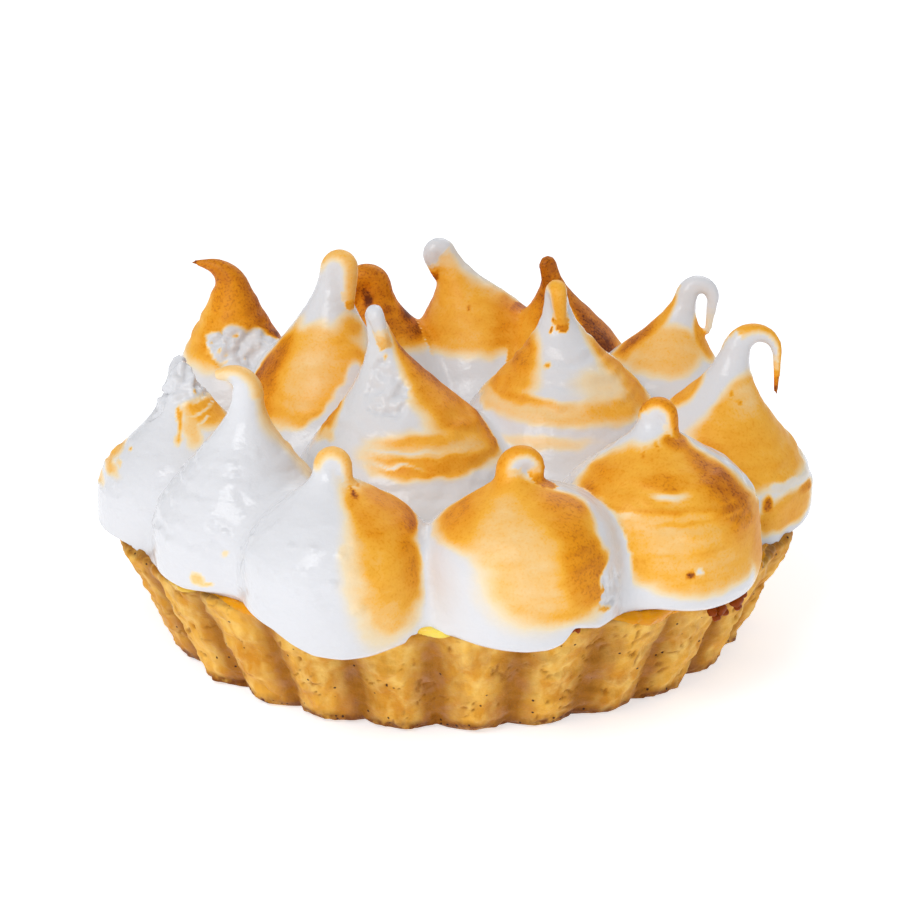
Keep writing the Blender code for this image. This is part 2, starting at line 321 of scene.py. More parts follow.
case_points = out * (radii - flute_shares * FLUTE_DEPTH * groove + relief)[:, None]
case_points[:, 2] = heights + np.where(heights > CASE_HEIGHT - RIM_ROUND, relief * at_rim, 0)
case = mesh_object("shortcrust_case", case_points, ring_faces(len(case_rows), CASE_SIDES))
point_values(case, "groove", groove * flute_shares)
point_values(case, "pit", np.maximum(pit, crack) * shown)
foot_scorch = (SCORCH_MEAN + SCORCH_VARIES * field(smooth_wall, SCORCH_GRAIN, 13.0)) * at_foot
point_values(case, "scorch", np.clip(foot_scorch + RIM_SCORCH * at_rim, 0, 1))
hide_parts("crust")
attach(case, "root")
print("case points:", len(case_points))

# %% [markdown]
# ## Shortcrust, baked and unglazed
# Butter and egg yolk brown to a warm sandy gold. The grooves get painted shade, a darker brown that grows
# with their depth, in random dull pinkish patches. The face is matt like fine sandstone with a faint
# buttery sheen, and small scorched specks gather at the foot and the rim. Each layer of colour lies over the
# one before it, as far as its pattern lets it. In a Mix node of colours, socket 0 is the share, 6 and 7 the
# colours.

# %% Noise patterns in millimetres
def texture_place(tree, size, flat=1.0):
    """Object coordinates in units of the given millimetres. Flat is how many times lower a pattern is."""
    space = add(tree, "ShaderNodeTexCoord").outputs["Object"]
    scale = 1 / (size * MM)
    sockets = {"Vector": space, "Scale": (scale, scale, scale * flat)}
    return add(tree, "ShaderNodeMapping", sockets).outputs["Vector"]


def clouds(tree, size, flat=1.0, detail=3.0, low=0.4, high=0.6, least=0.0, most=1.0):
    """Soft noise, steepened between two of its levels and spread from least to most."""
    sockets = {"Vector": texture_place(tree, size, flat), "Scale": 1.0, "Detail": detail}
    cloud = add(tree, "ShaderNodeTexNoise", sockets).outputs["Fac"]
    levels = {"Value": cloud, "From Min": low, "From Max": high, "To Min": least, "To Max": most}
    return add(tree, "ShaderNodeMapRange", levels).outputs[0]


print("a 2 mm pattern has scale", round(1 / (2 * MM)))

# %% Shortcrust material
CREST, CREST_PALE, CREST_DEEP = "eaae3e", "f8d072", "d48e1c"
# The two groove browns are painted shade for the grooves; the duller one shows in random patches.
GROOVE_SHADE, GROOVE_SHADE_DULL, LEAK = "a66a0c", "ac7648", "b8741c"
PIT_BROWN, FOOT_BROWN, SCORCHED = "a2640c", "7c4406", "3a1a06"
PATCH_SIZE, SMEAR_SIZE, SMEAR_FLAT, LEAK_SIZE, LEAK_FLAT = 7.0, 2.0, 0.5, 3.2, 0.35
SINGE_SIZE, GRAIN_SIZE, GRAIN_DEPTH, SPECK_SIZE = 1.5, 0.4, 0.2, 1.0
SPECK_RADIUS, SPECK_CORE = 0.26, 0.16
SPECKS_ANYWHERE, SPECKS_SCORCHED = 0.05, 0.55

material, tree, shader = new_material("baked shortcrust", {"IOR": 1.4, "Specular IOR Level": 0.3})
masks = [add(tree, "ShaderNodeAttribute", attribute_name=name) for name in ("groove", "pit", "scorch")]
in_groove, in_pit, scorch = (mask.outputs["Fac"] for mask in masks)
# Painted shade: the deeper a point lies in a groove, the more of the darker groove brown it gets.
shade = add(tree, "ShaderNodeMapRange", {"Value": in_groove, "From Min": 0.1, "From Max": 0.7}).outputs[0]
dull = {0: clouds(tree, PATCH_SIZE / 2, low=0.5, high=0.7), 6: linear(GROOVE_SHADE), 7: linear(GROOVE_SHADE_DULL)}
groove_shade_colour = add(tree, "ShaderNodeMix", dull, data_type="RGBA").outputs[2]
dots = add(tree, "ShaderNodeTexVoronoi", {"Vector": texture_place(tree, SPECK_SIZE), "Scale": 1.0})
dot = {"Value": dots.outputs["Distance"], "From Min": SPECK_RADIUS, "From Max": SPECK_CORE}
speck = add(tree, "ShaderNodeMapRange", dot).outputs[0]
chance = add(tree, "ShaderNodeSeparateColor", {"Color": dots.outputs["Color"]}).outputs[0]
specks = {0: scorch, 1: SPECKS_SCORCHED, 2: SPECKS_ANYWHERE}
wanted = add(tree, "ShaderNodeMath", specks, operation="MULTIPLY_ADD").outputs[0]
chosen = add(tree, "ShaderNodeMath", {0: chance, 1: wanted}, operation="LESS_THAN").outputs[0]
layers = (
    (clouds(tree, PATCH_SIZE), 1.0, linear(CREST_DEEP)),
    (clouds(tree, SMEAR_SIZE, SMEAR_FLAT, low=0.42, high=0.72), 0.75, linear(CREST_PALE)),
    (shade, 1.0, groove_shade_colour),
    (clouds(tree, LEAK_SIZE, LEAK_FLAT, low=0.52, high=0.7), 0.5, linear(LEAK)),
    (in_pit, 0.8, linear(PIT_BROWN)),
    (scorch, clouds(tree, SINGE_SIZE, low=0.2, high=0.55), linear(FOOT_BROWN)),
    (speck, chosen, linear(SCORCHED)),
)
colour = linear(CREST)
for cover, amount, layer in layers:
    part = add(tree, "ShaderNodeMath", {0: cover, 1: amount}, operation="MULTIPLY").outputs[0]
    colour = add(tree, "ShaderNodeMix", {0: part, 6: colour, 7: layer}, data_type="RGBA").outputs[2]
tree.links.new(colour, shader.inputs["Base Color"])
sheen = clouds(tree, SMEAR_SIZE, low=0.3, high=0.7, least=0.45, most=0.7)
tree.links.new(sheen, shader.inputs["Roughness"])
grain = {"Height": clouds(tree, GRAIN_SIZE, low=0.0, high=1.0), "Strength": 0.8, "Distance": GRAIN_DEPTH * MM}
tree.links.new(add(tree, "ShaderNodeBump", grain).outputs["Normal"], shader.inputs["Normal"])
case.data.materials.append(material)
print("layers of colour over the crest:", len(layers))

# %% [markdown]
# ## The lemon curd
# The curd was poured to the brim, so it stands level inside the case, wets the rim and in places runs over
# its edge. Its top is a disc, and its lip follows the case's own rows at the thickness of a drop. The lip
# sinks into the dough where the curd ends, which leaves a round wet edge there. Its hidden side runs back
# inside the wall.

# %% Where the curd runs over the rim
LIP_MEAN, LIP_WANDER, LIP_GRAIN = 2.4, 1.3, 9.0


def apart(degrees, bearing):
    """Degrees from a bearing, between -180 and 180."""
    return (degrees - bearing + 180) % 360 - 180


@dataclass
class Run:
    """A place where the curd runs out: its middle and half width in degrees, and how far in millimetres."""

    bearing: float
    spread: float
    reach: float
    bright: float = 0.0

    def hill(self, degrees):
        """1 in the middle of the run, falling to 0 at its sides."""
        return np.exp(-((apart(degrees, self.bearing) / self.spread) ** 2))


RUNS = (
    Run(-56, 10, 3.6), Run(-44, 12, 1.4), Run(-120, 8, 3.6), Run(-138, 5, 2.6, bright=0.5), Run(-36, 4, 1.8),
    Run(-92.5, 3.6, 2.4, bright=1.0), Run(118, 12, 1.2),
)


def lip_reach(degrees):
    """How far the curd reaches from the inner edge of the rim, along the dough's face (millimetres)."""
    line = np.stack([degrees / LIP_GRAIN, 0 * degrees, 0 * degrees], axis=1)
    return LIP_MEAN + LIP_WANDER * field(line, 1.0, 4.0) + sum(run.reach * run.hill(degrees) for run in RUNS)


print("places where the curd runs over:", len(RUNS))

# %% Curd and its lip
LIP_THICK = 0.3
LIP_BURIED = 0.2
LIP_EDGE = 1.4
LIP_ROWS_DOWN = 12
DISC_ROWS = 12
BRIM_SHARE = 0.985
MIDDLE_SHARE = 0.04
CURD_RISE = 0.1
MENISCUS_POWER = 14
HIDDEN_STRIDE, HIDDEN_DEPTH = 6, 0.8
UNDER_WIDER, UNDER_LOWER = 6.0, 1.5
CURD_INSET = 0.4

case_grid = case_points.reshape(len(case_rows), CASE_SIDES, 3)
rim_row = int(np.argmin(np.hypot(case_rows[:, 0] - (RIM_RADIUS - WALL), case_rows[:, 1] - CASE_HEIGHT)))
edge_row = int(np.argmin(np.hypot(case_rows[:, 0] - RIM_RADIUS, case_rows[:, 1] - CASE_HEIGHT)))
lip_rows = np.arange(rim_row, edge_row - LIP_ROWS_DOWN, -1)
slope = np.gradient(case_rows[:, :2], axis=0)
slope /= np.hypot(*slope.T)[:, None]
facing = out[:CASE_SIDES][None] * slope[lip_rows, 1, None, None] - upward * slope[lip_rows, 0, None, None]
run_out = (rim_row - lip_rows)[:, None] * ROW_STEP
left = lip_reach(np.degrees(turns))[None] - run_out
thick = (LIP_THICK + LIP_BURIED) * np.sqrt(smooth(-0.2, LIP_EDGE, left)) - LIP_BURIED
lip = case_grid[lip_rows] + facing * thick[:, :, None]
spokes = np.linspace(MIDDLE_SHARE, 1, DISC_ROWS)[:, None, None]
brim = lip[0] * np.array([1, 1, 0]) * BRIM_SHARE
curd_level = CURD_TOP + CURD_RISE
meniscus = (lip[0, :, 2].mean() - curd_level) * spokes**MENISCUS_POWER
top = brim[None] * spokes + upward * (curd_level + meniscus)
hidden = case_grid[lip_rows[::-1][::HIDDEN_STRIDE]] - facing[::-1][::HIDDEN_STRIDE] * HIDDEN_DEPTH
wet_radius = wall_radius(FLOOR) - WALL - CURD_INSET
under_radii = np.array([wet_radius + UNDER_WIDER, wet_radius, wet_radius * MIDDLE_SHARE])
under_heights = np.array([CURD_TOP - UNDER_LOWER, FLOOR + CURD_INSET, FLOOR + CURD_INSET])
under = out[:CASE_SIDES][None] * under_radii[:, None, None] + upward * under_heights[:, None, None]
curd_grid = np.concatenate([top, lip, hidden, under])[::-1]
curd = mesh_object("lemon_curd_filling", curd_grid.reshape(-1, 3), ring_faces(len(curd_grid), CASE_SIDES))
thin = sum(run.bright * run.hill(np.degrees(turns)) for run in RUNS)
point_values(curd, "thin", np.tile(thin, len(curd_grid)))
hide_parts("lemon_curd")
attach(curd, "root")
print("curd points:", curd_grid.size // 3, "rim row", rim_row, "edge row", edge_row)

# %% [markdown]
# ## Lemon curd, set
# Curd is egg, butter, sugar and lemon juice. It is a deep yellow jelly with a wet gloss, it lets some light
# in, and a thin drop of it over pale foam looks bright lemon yellow.

# %% Lemon curd material
CURD_DEEP, CURD_BRIGHT = "e0940a", "f6dc62"

material, tree, shader = new_material("set lemon curd", {
    "Roughness": 0.14, "IOR": 1.42, "Specular IOR Level": 0.25,
    "Subsurface Weight": 0.25, "Subsurface Radius": (1.0, 0.6, 0.1), "Subsurface Scale": 1.2 * MM,
})
thin_curd = add(tree, "ShaderNodeAttribute", attribute_name="thin").outputs["Fac"]
yellows = {0: thin_curd, 6: linear(CURD_DEEP), 7: linear(CURD_BRIGHT)}
colour = add(tree, "ShaderNodeMix", yellows, data_type="RGBA").outputs[2]
tree.links.new(colour, shader.inputs["Base Color"])
curd.data.materials.append(material)
print("curd from", CURD_DEEP, "to", CURD_BRIGHT)

# %% [markdown]
# ## The kisses' shapes
# A piped kiss is foam pushed out of a round nozzle: a low belly, a shoulder like a bell, and a peak that
# falls over when the nozzle is pulled away. The solids were swept along such spines, and the same spines
# are swept again here with many more points. The table repeats the solids' own sizes, because their source
# isn't read. Only the torn stub on the left is slimmer here, since its torn skin stands out again.

# %% Where each kiss stands and how its tip fell
BELLY_SHARE = 0.2
FOLD_ROOM = 0.85
SKIRT = 10.0
SKIRT_SHARE = 0.35
SKIRT_POWER = 1.5
SKIRT_END = 56.0
SKIRT_FADE = 10.0
RIPPLE_SHARE = 0.03
RIPPLE_LENGTH = 9.0


@dataclass
class Kiss:
    """One kiss, in millimetres and degrees.

    Its peak turns by curl round a bend towards heading, and ends in a straight tail. Toast is how brown the
    torch left its far side, and valley how wide the white at its foot is.
    """

    node: str
    x: float
    y: float
    radius: float
    height: float
    lean: tuple
    bend: float
    curl: float
    heading: float
    tail: float
    neck: float = 3.0
    tip: float = 1.0
    taper: float = 1.0
    full: float = 1.12
    cone: float = 0.0
    sag: float = 1.0
    footing: float = 0.86
    valley: float = 1.0
    toast: float = 0.6

    @property
    def foot(self):
        return CURD_TOP - self.sag

    @property
    def rise(self):
        return self.height + self.sag


KISSES = (
    Kiss("kiss_front_left", -17.2, -46.6, 14.5, 23.3, (-1.7, 1.0), full=2.2,
         bend=1.3, curl=178, heading=-10, tail=5.0, neck=1.9, tip=0.9, sag=2.2, valley=0.7),
    Kiss("kiss_front", 10.4, -46.4, 15.3, 22.3, (-2.1, 1.0), full=2.7,
         bend=2.0, curl=190, heading=5, tail=2.0, neck=2.2, sag=0.8),
    Kiss("kiss_front_right", 31.0, -34.0, 16.2, 26.4, (-1.2, 1.0), full=2.0,
         bend=1.5, curl=176, heading=-22, tail=4.2, neck=2.0, tip=0.9, sag=0.0),
    Kiss("kiss_right", 42.0, -6.0, 16.0, 27.3, (3.4, 2.0), footing=1.0,
         bend=3.3, curl=166, heading=0, tail=6.5, neck=2.4, tip=0.5, taper=1.8),
    Kiss("kiss_right_back", 35.6, 23.6, 15.2, 26.9, (4.0, 2.0),
         bend=2.3, curl=172, heading=-8, tail=5.5, neck=1.9, tip=0.6, taper=1.2, valley=0.4),
    Kiss("kiss_back_right", 18.9, 41.5, 13.5, 27.1, (-2.0, 0.0),
         bend=0.7, curl=175, heading=230, tail=3.0, neck=1.3, tip=0.8, valley=0.05, toast=0.9),
    Kiss("kiss_back", 4.8, 46.0, 14.8, 28.1, (-6.3, 0.0),
         bend=1.3, curl=176, heading=-165, tail=3.5, neck=2.0, valley=0.05),
    Kiss("kiss_back_left", -13.0, 41.6, 15.0, 23.2, (-0.8, 0.0),
         bend=2.0, curl=170, heading=200, tail=3.0, valley=0.5, toast=0.95),
    Kiss("kiss_left_back", -36.9, 24.0, 15.0, 28.3, (-0.6, 0.0), cone=0.85,
         bend=4.6, curl=80, heading=180, tail=2.6, neck=3.3, tip=0.4, taper=1.3, valley=0.3, toast=0.75),
    Kiss("kiss_left", -42.0, -9.5, 15.5, 21.5, (-1.2, 2.0), full=1.4, footing=1.0,
         bend=5.0, curl=50, heading=100, tail=0.5, neck=3.9, tip=1.3, toast=0.3),
    Kiss("kiss_left_front", -32.0, -31.0, 14.5, 29.1, (0.8, 1.0),
         bend=3.0, curl=98, heading=185, tail=1.0, neck=2.5, tip=1.0, sag=0.0, toast=0.2),
    Kiss("kiss_middle_front", -7.8, -10.2, 18.3, 33.8, (-4.6, 2.0), full=0.98,
         bend=1.0, curl=175, heading=-75, tail=4.0, neck=1.6, tip=0.9),
    Kiss("kiss_middle_right", 18.0, 1.6, 18.0, 33.7, (-1.4, 2.0), full=1.2,
         bend=1.2, curl=176, heading=-80, tail=5.5, neck=1.9, tip=0.8),
    Kiss("kiss_middle_left", -21.5, 15.1, 14.8, 34.1, (1.6, 2.0),
         bend=1.4, curl=176, heading=-30, tail=8.0, neck=2.3, tip=1.0),
)
print("kisses:", len(KISSES), "tallest in mm:", max(kiss.height for kiss in KISSES))

# %% [markdown]
# ## Spines and sweeps
# A sweep needs a spine: places, directions and radii from the foot to the end of the tip. The body's rings
# widen into a thin skirt at the foot, which is the foam that sags into the valleys. Each ring keeps the
# direction that points away from the hook's pivot, because the torch browns that side of a tip and leaves
# the other white.

# %% The spine of a kiss
BODY_RINGS = 44
ARC_RINGS = 22
TAIL_RINGS = 10


def body_radius(kiss, share):
    """Radius at a share of the height, for one share or an array of them."""
    below = np.clip(1 - share / BELLY_SHARE, 0, 1)
    above = np.clip((share - BELLY_SHARE) / (1 - BELLY_SHARE), 0, 1)
    belly = kiss.radius * (kiss.footing + (1 - kiss.footing) * np.sqrt(1 - below * below))
    bell = 0.5 + 0.5 * np.cos(np.pi * above**kiss.full)
    side = kiss.neck + (kiss.radius - kiss.neck) * (bell + kiss.cone * (1 - above - bell))
    return np.where(share < BELLY_SHARE, belly, side)


def skirt_reach(x, y, share):
    """How far the sagging foot of the foam spreads, but never over the rim (millimetres)."""
    inside = np.clip((SKIRT_END - np.hypot(x, y)) / SKIRT_FADE, 0, 1)
    return SKIRT * inside * np.clip(1 - share / SKIRT_SHARE, 0, 1) ** SKIRT_POWER


def spine(kiss):
    """Rows of centre, direction, radius, way from the pivot, and share: to 1 on the body, to 2 on the tip."""
    heading = math.radians(kiss.heading)
    ahead = Vector((math.cos(heading), math.sin(heading), 0))
    lean = Vector((*kiss.lean, 0))
    rows = []
    for i in range(BODY_RINGS + 1):
        share = i / BODY_RINGS
        centre = Vector((kiss.x, kiss.y, kiss.foot + kiss.rise * share)) + lean * share**2
        way = (Vector((0, 0, 1)) + 2 * lean * share / kiss.rise).normalized()
        rows.append((centre, way, float(body_radius(kiss, share)), -ahead, share))
    neck_centre, neck_way = rows[-1][:2]
    fall = (ahead - neck_way * ahead.dot(neck_way)).normalized()
    pivot = neck_centre + fall * kiss.bend
    curl = math.radians(kiss.curl)
    arc = kiss.bend * curl
    length = arc + kiss.tail
    for i in range(1, ARC_RINGS + 1):
        turn = curl * i / ARC_RINGS
        away = neck_way * math.sin(turn) - fall * math.cos(turn)
        way = neck_way * math.cos(turn) + fall * math.sin(turn)
        run = arc * i / ARC_RINGS
        radius = kiss.tip + (kiss.neck - kiss.tip) * (1 - run / length) ** kiss.taper
        rows.append((pivot + away * kiss.bend, way, radius, away, 1 + run / length))
    end, way, _, away, _ = rows[-1]
    for i in range(1, TAIL_RINGS + 1):
        run = kiss.tail * i / TAIL_RINGS
        radius = kiss.tip + (kiss.neck - kiss.tip) * (1 - (arc + run) / length) ** kiss.taper
        rows.append((end + way * run, way, radius, away, 1 + (arc + run) / length))
    return rows


print("rings in one kiss:", len(spine(KISSES[0])))

# %% [markdown]
# The sweep joins rings of points into a closed body. Inside a tight bend the rings would cross, so their
# inner side goes no further than the room there. A round cap closes the tip, because foam never ends in a
# flat face. Four kisses leave a wide gap behind the middle, and a low mound of foam covers the curd there.

# %% Sweep every kiss with many points
RING_POINTS = 56
CAP_RINGS = 5


def ring_points(centre, way, radius, away, room):
    """One ring square to its direction."""
    outer = (away - way * away.dot(way)).normalized()
    side = way.cross(outer)
    turns = (2 * math.pi * i / RING_POINTS for i in range(RING_POINTS))
    return [centre + side * (math.cos(t) * radius) + outer * max(-room, math.sin(t) * radius) for t in turns]


def shaped(kiss, centre, point, share):
    """A body point with the slow ripple of piped foam and the skirt at the foot."""
    arm = point - centre
    ripple = RIPPLE_SHARE * noise.noise(point / RIPPLE_LENGTH) * arm.length / kiss.radius
    reach = float(skirt_reach(point.x, point.y, share))
    return point + arm * ripple + arm.normalized() * reach


def swept(kiss):
    """The rings of the whole kiss, in millimetres."""
    rings = []
    for centre, way, radius, away, share in spine(kiss):
        on_tip = share > 1
        ring = ring_points(centre, way, radius, away, FOLD_ROOM * kiss.bend if on_tip else radius)
        rings.append(ring if on_tip else [shaped(kiss, centre, point, share) for point in ring])
    for i in range(1, CAP_RINGS):
        turn = math.pi / 2 * i / CAP_RINGS
        cap = centre + way * math.sin(turn) * radius
        rings.append(ring_points(cap, way, math.cos(turn) * radius, away, FOLD_ROOM * kiss.bend))
    return rings


bodies = [swept(kiss) for kiss in KISSES]
print("rings in all kisses:", sum(len(rings) for rings in bodies))

# %% Add the mound and make one mesh
MOUND_X, MOUND_Y, MOUND_RADIUS, MOUND_HEIGHT = 3.3, 19.6, 10.0, 4.0
MOUND_SUNK = 1.0

mound = []
for rise in np.linspace(0, math.pi / 2, CAP_RINGS + 2)[:-1]:
    reach = MOUND_RADIUS * math.cos(rise)
    level = CURD_TOP - MOUND_SUNK + MOUND_HEIGHT * math.sin(rise)
    angles = np.arange(RING_POINTS) * 2 * math.pi / RING_POINTS
    mound.append([(MOUND_X + reach * math.cos(t), MOUND_Y + reach * math.sin(t), level) for t in angles])
points, faces = [], []
for rings in [*bodies, mound]:
    faces += [tuple(i + len(points) for i in face) for face in ring_faces(len(rings), RING_POINTS)]
    points += [point for ring in rings for point in ring]
foam = mesh_object("meringue_kisses", points, faces)
print("swept points:", len(points))

# %% [markdown]
# ## One cap of foam
# Kisses that touch while soft run together, so their valleys are smooth and not cracks. A voxel remesh
# joins the overlapping bodies into one skin with even faces. Then the valleys alone are relaxed: each point
# there moves towards the middle of its neighbours, which fills the crease as soft foam does.

# %% Join the kisses into one skin
VOXEL = 0.5 * MM

remesh = foam.modifiers.new("one skin", "REMESH")
remesh.mode = "VOXEL"
remesh.voxel_size = VOXEL
graph = bpy.context.evaluated_depsgraph_get()
one_skin = bpy.data.meshes.new_from_object(foam.evaluated_get(graph))
foam.modifiers.clear()
foam.data = one_skin
count = len(foam.data.vertices)
place = np.empty(count * 3)
foam.data.vertices.foreach_get("co", place)
place = place.reshape(-1, 3)
links = np.empty(len(foam.data.edges) * 2, np.int32)
foam.data.edges.foreach_get("vertices", links)
links = links.reshape(-1, 2)
print("foam points:", count)

# %% [markdown]
# The remesh forgets which kiss a point came from, and the torch marks need it. So each point is measured
# against every kiss again: the nearest one owns it, and the room to the next one tells how deep in a valley
# it lies.

# %% Measure each point against each kiss
FAR_OFF = 1e9
NEVER_ZERO = 1e-6


def locate(points_mm):
    """For each point: its kiss, share, bearing, outer side of the hook, the next kiss and the room to it."""
    total = len(points_mm)
    near = np.full(total, FAR_OFF)
    second = np.full(total, FAR_OFF)
    owner = np.zeros(total, int)
    rival = np.zeros(total, int)
    share = np.zeros(total)
    bearing = np.zeros(total)
    outer = np.zeros(total)
    for index, kiss in enumerate(KISSES):
        up = np.clip((points_mm[:, 2] - kiss.foot) / kiss.rise, 0, 1)
        dx = points_mm[:, 0] - kiss.x - kiss.lean[0] * up**2
        dy = points_mm[:, 1] - kiss.y - kiss.lean[1] * up**2
        across = np.hypot(dx, dy)
        wide = body_radius(kiss, up) + skirt_reach(points_mm[:, 0], points_mm[:, 1], up)
        above = np.maximum(points_mm[:, 2] - kiss.foot - kiss.rise, 0)
        gap = np.where(above > 0, np.hypot(across - wide, above), across - wide)
        heading = math.radians(kiss.heading)
        kiss_share = up.copy()
        kiss_outer = -(dx * math.cos(heading) + dy * math.sin(heading)) / np.maximum(across, NEVER_ZERO)
        for centre, _, radius, away, tip_share in spine(kiss)[BODY_RINGS + 1 :: 2]:
            arm = points_mm - np.array(centre)
            reach = np.linalg.norm(arm, axis=1)
            closer = reach - radius < gap
            gap = np.where(closer, reach - radius, gap)
            kiss_share = np.where(closer, tip_share, kiss_share)
            kiss_outer = np.where(closer, arm @ np.array(away) / np.maximum(reach, NEVER_ZERO), kiss_outer)
        first = gap < near
        rival = np.where(first, owner, np.where(gap < second, index, rival))
        second = np.where(first, near, np.minimum(second, gap))
        near = np.where(first, gap, near)
        owner = np.where(first, index, owner)
        share = np.where(first, kiss_share, share)
        bearing = np.where(first, np.degrees(np.arctan2(dy, dx)), bearing)
        outer = np.where(first, kiss_outer, outer)
    return owner, share, bearing, outer, rival, second - near


owner, share, bearing, outer, rival, moat = locate(place / MM)
print("points on tips:", int((share > 1).sum()), "points in valleys:", int((moat < 1).sum()))

# %% Relax the valleys
VALLEY_EDGE, VALLEY_PASSES = (0.3, 2.6), 30
SADDLE_EDGE, SADDLE_PASSES = (0.5, 8.0), 60
SADDLE = ("kiss_front_left", "kiss_left_front")
VALLEY_PULL = 0.9
SKIN_PULL, SKIN_PASSES = 0.5, 3


def relaxed(points_now, strength, passes):
    """Moves each point towards the mean of its neighbours, by its own strength."""
    ends = np.concatenate([links[:, 0], links[:, 1]])
    others = np.concatenate([links[:, 1], links[:, 0]])
    degree = np.bincount(ends, minlength=count)[:, None]
    for _ in range(passes):
        total = np.stack([np.bincount(ends, points_now[others, axis], count) for axis in range(3)], axis=1)
        points_now = points_now + strength[:, None] * (total / degree - points_now)
    return points_now


on_body = 1 - smooth(0.8, 1.0, share)
in_valley = (1 - smooth(*VALLEY_EDGE, moat)) * on_body
place = relaxed(place, VALLEY_PULL * in_valley, VALLEY_PASSES)
pair = [index for index, kiss in enumerate(KISSES) if kiss.node in SADDLE]
in_saddle = np.isin(owner, pair) & np.isin(rival, pair)
place = relaxed(place, VALLEY_PULL * in_saddle * (1 - smooth(*SADDLE_EDGE, moat)) * on_body, SADDLE_PASSES)
place = relaxed(place, np.full(count, SKIN_PULL), SKIN_PASSES)
print("valley points relaxed:", int((in_valley > 0.5).sum()))

# %% [markdown]
# Outside, the foam ends in a hem that lies on the rim in most places and hangs over it at the three front
# kisses. The hem is one line of bearings in degrees and heights in millimetres round the tart. Foam that
# overhangs the rim is lifted to it, and its underside rises outwards, as a drop's does.

# %% Lift the hem
HEM = (
    (-180, 20.2), (-164, 20.1), (-157, 20.9), (-150, 21.4), (-142, 20.8), (-135, 20.7), (-130, 21.6),
    (-126, 22.0), (-122, 21.6), (-119, 20.7), (-115, 19.4), (-112, 17.5), (-109, 16.0), (-105, 15.5),
    (-102, 16.4), (-98, 18.7), (-93, 21.0), (-90, 20.3), (-86, 18.8), (-83, 17.9), (-80, 17.3),
    (-77, 17.5), (-75, 18.6), (-73.5, 21.0), (-69, 20.2), (-66, 21.1), (-61, 21.4), (-58, 21.0),
    (-53, 19.1), (-48, 17.4), (-44, 17.8), (-39, 17.4), (-34, 19.0), (-28, 20.5), (0, 20.2), (180, 20.2),
)
HEM_SLOPE = 0.384
HEM_ROUND = 0.45
HEM_EDGE = (53.5, 56.0)
HEM_PULL, HEM_PASSES = 0.5, 2

mm = place / MM
round_tart = np.degrees(np.arctan2(mm[:, 1], mm[:, 0]))
from_axis = np.hypot(mm[:, 0], mm[:, 1])
lowest = np.interp(round_tart, *zip(*HEM)) + (from_axis - RIM_RADIUS) * HEM_SLOPE
lift = HEM_ROUND * np.logaddexp(0, (lowest - mm[:, 2]) / HEM_ROUND) * smooth(*HEM_EDGE, from_axis)
place[:, 2] += lift * MM
place = relaxed(place, HEM_PULL * smooth(0.05, 0.3, lift), HEM_PASSES)
foam.data.vertices.foreach_set("co", place.ravel())
foam.data.update()
print("points lifted to the hem:", int((lift > 0.3).sum()), "most in mm:", round(float(lift.max()), 1))

# %% [markdown]
# ## Relief of the foam
# Foam from a bag has faint rings where the flow pulsed, and the torch wrinkles its skin along them. The
# kisses on the left kept a wet gloss in short raised strokes. A few places were torn open by a touch, where
# the foam looks like cotton wool. Each is a small height along the surface's normal.

# %% Torn places
@dataclass
class Torn:
    """A torn place: bearing and half width in degrees, middle and half height in shares, and roughness."""

    node: str
    bearing: float
    share: float
    wide: float
    tall: float
    rough: float


TORN = (
    Torn("kiss_left_back", -112, 0.755, 22, 0.05, 0.8), Torn("kiss_left_back", -84, 0.735, 34, 0.11, 0.8),
    Torn("kiss_left_back", -52, 0.69, 34, 0.13, 0.8), Torn("kiss_left", 0, 1.38, 400, 0.41, 1.1),
    Torn("kiss_left", -165, 0.93, 34, 0.1, 1.1), Torn("kiss_middle_front", -94, 0.735, 34, 0.1, 0.85),
    Torn("kiss_front", -33, 0.36, 9, 0.12, 0.5),
)
TORN_DEPTH = 0.5
TORN_LUMPS, TORN_LUMP_SIZE = 0.9, 2.2
TORN_FLUFF, TORN_FLUFF_SIZE = 0.6, 1.0
TORN_EDGE, TORN_WANDER, TORN_RAGGED, TORN_LIFT = (0.92, 1.08), 6.0, 5.0, 0.02
ALL_ROUND = 180
SLOW_SIZE, QUICK_SIZE = 2.6, 0.9


def own_points(node):
    """Which points belong to a kiss."""
    return owner == next(index for index, kiss in enumerate(KISSES) if kiss.node == node)


def measured(oval, turn, up):
    """Distance from an oval's middle, where 1 is its edge. An oval wider than half a turn goes all round."""
    aside = apart(turn, oval.bearing) if oval.wide < ALL_ROUND else 0 * turn
    return np.hypot(aside / oval.wide, (up - oval.share) / oval.tall)


slow = field(mm, SLOW_SIZE, 7.0)
slow_up = field(mm, SLOW_SIZE, 17.0)
quick = field(mm, QUICK_SIZE, 27.0)
quick_up = field(mm, QUICK_SIZE, 37.0)
lumps = TORN_LUMPS * field(mm, TORN_LUMP_SIZE, 51.0) + TORN_FLUFF * field(mm, TORN_FLUFF_SIZE, 61.0)
torn = np.zeros(count)
torn_relief = np.zeros(count)
for spot in TORN:
    edge = measured(spot, bearing + TORN_WANDER * slow + TORN_RAGGED * quick, share + TORN_LIFT * slow_up)
    inside = own_points(spot.node) * (1 - smooth(*TORN_EDGE, edge))
    torn = np.maximum(torn, inside)
    torn_relief += inside * spot.rough * (lumps - TORN_DEPTH)
print("torn points:", int((torn > 0.5).sum()))

